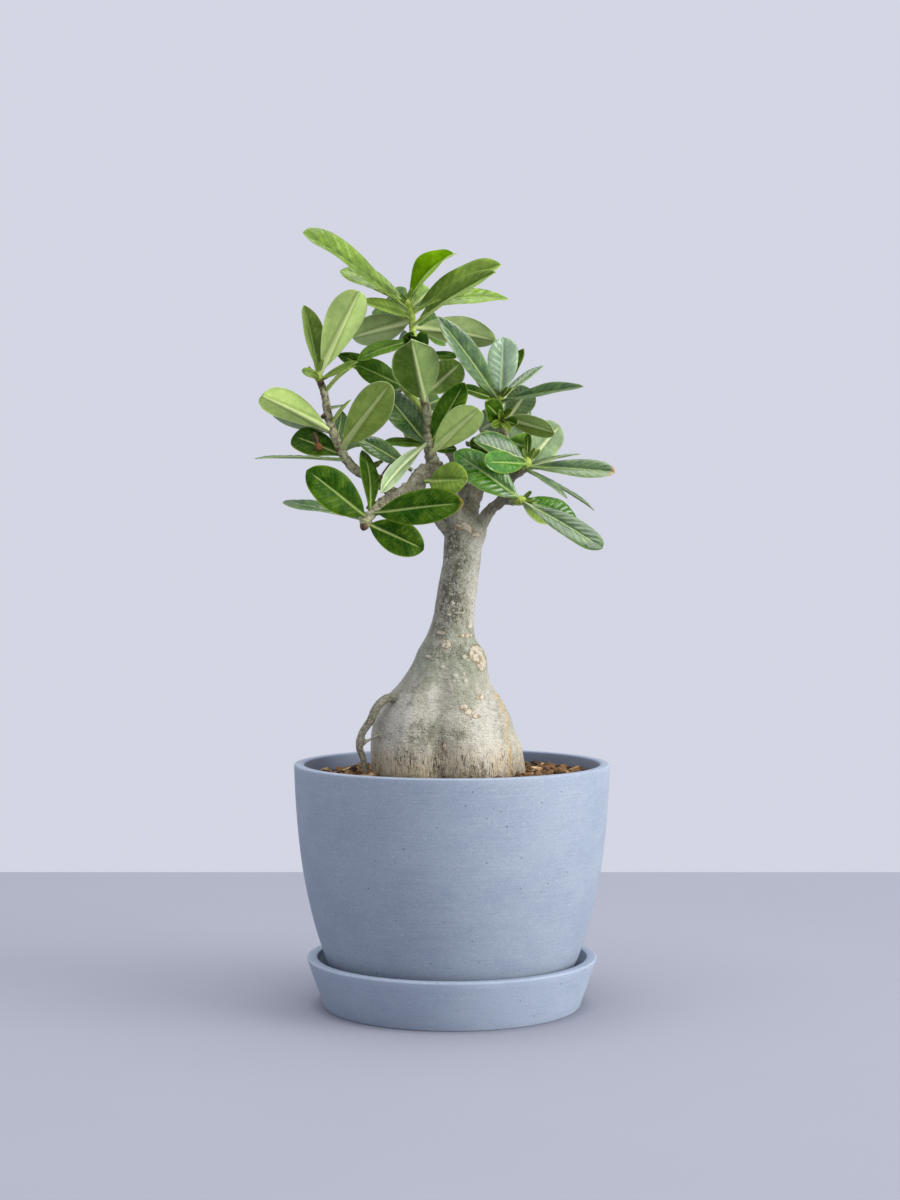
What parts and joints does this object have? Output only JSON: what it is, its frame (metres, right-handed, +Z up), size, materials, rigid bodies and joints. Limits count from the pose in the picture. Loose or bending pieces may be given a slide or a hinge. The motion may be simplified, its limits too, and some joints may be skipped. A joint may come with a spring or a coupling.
{
  "type": "potted desert rose",
  "caption": "Desert rose plant with a swollen base, forked trunk and rosettes of leaves, growing in a round pot that stands on a matching saucer.",
  "frame": {"origin": "middle of the saucer's flat underside, on the surface that the saucer stands on", "axes": "+Z up along the pot's axis, -Y towards the front of the plant, +X to the right as seen from the front"},
  "size_m": [0.1664, 0.15, 0.3681],
  "materials": {
    "pot": "matt grey-blue composite of plastic and stone powder, sanded with fine level marks and speckles",
    "saucer": "matt grey-blue composite of plastic and stone powder, sanded with fine level marks and speckles",
    "soil": "coarse gritty potting mix of bark, pumice and grit",
    "bark": "thin smooth grey-cream bark with darker flecks and scars",
    "leaf_dark": "dark green leaf, glossy above and matt below",
    "leaf_green": "mid green leaf, glossy above and matt below",
    "leaf_young": "young yellow-green leaf",
    "leaf_grey": "grey-green leaf with a soft sheen"
  },
  "bodies": {
    "root": {"saucer": "saucer", "pot": "pot", "soil": "soil", "trunk": "bark", "shoot_centre": "leaf_dark", "shoot_top": "leaf_young", "shoot_left_low": "leaf_dark", "shoot_left": "leaf_green", "shoot_back_left": "leaf_dark", "shoot_right_upper": "leaf_grey", "shoot_back_right": "leaf_grey", "shoot_right_mid": "leaf_grey", "shoot_right_low": "leaf_green", "leaf_low_centre": "leaf_green", "leaf_left_centre": "leaf_dark"}
  },
  "joints": []
}
